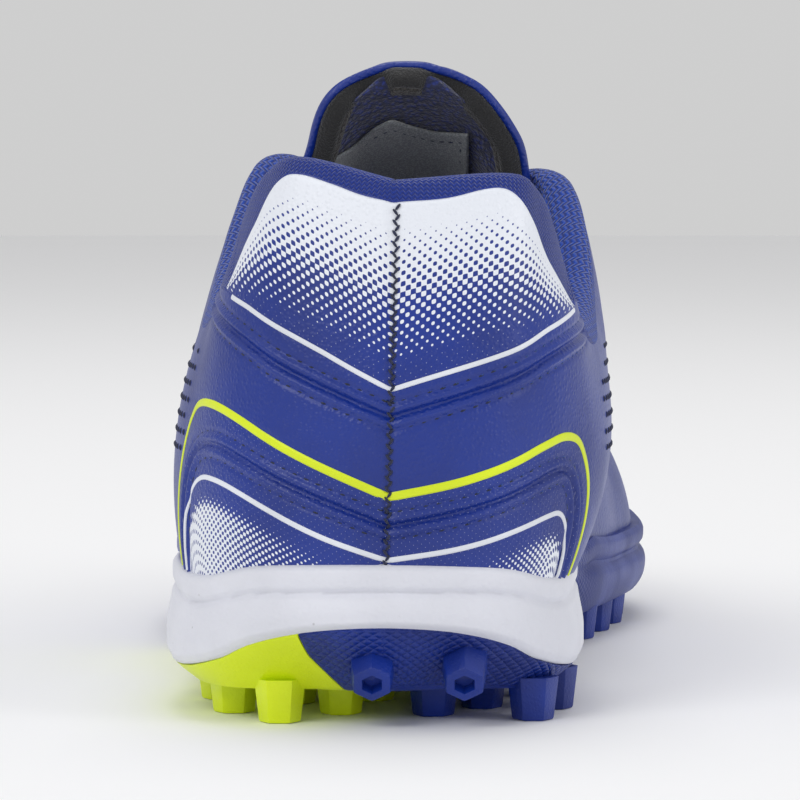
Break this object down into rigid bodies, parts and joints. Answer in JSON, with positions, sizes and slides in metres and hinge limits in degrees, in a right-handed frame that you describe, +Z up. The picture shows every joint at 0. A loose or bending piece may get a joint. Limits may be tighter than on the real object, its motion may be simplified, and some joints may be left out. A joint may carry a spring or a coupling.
{
  "type": "turf shoe",
  "caption": "Low left turf football shoe with a padded collar, laced throat, foam heel wedge and a blue and neon rubber sole with hexagonal studs.",
  "frame": {"origin": "on the floor under the middle of the shoe's bounding box", "axes": "+Y from heel to toe, +X towards the medial side of the left foot, +Z up"},
  "size_m": [0.1024, 0.286, 0.1205],
  "materials": {
    "outsole": "moulded, satin",
    "outsole_lateral": "moulded, satin",
    "midsole": "moulded foam, matt",
    "insole": "textile over foam",
    "upper": "pebbled synthetic leather, satin",
    "tongue": "mesh over foam",
    "heel_tab": "synthetic leather with a white dotted print",
    "heel_counter": "pebbled synthetic leather, satin",
    "eyestay": "pebbled synthetic leather, satin",
    "lace": "flat woven lace"
  },
  "bodies": {
    "root": {"outsole": "outsole", "outsole_lateral": "outsole_lateral", "midsole": "midsole", "insole": "insole", "upper": "upper", "tongue": "tongue", "heel_tab": "heel_tab", "heel_counter": "heel_counter", "eyestay": "eyestay", "lace": "lace"}
  },
  "joints": []
}
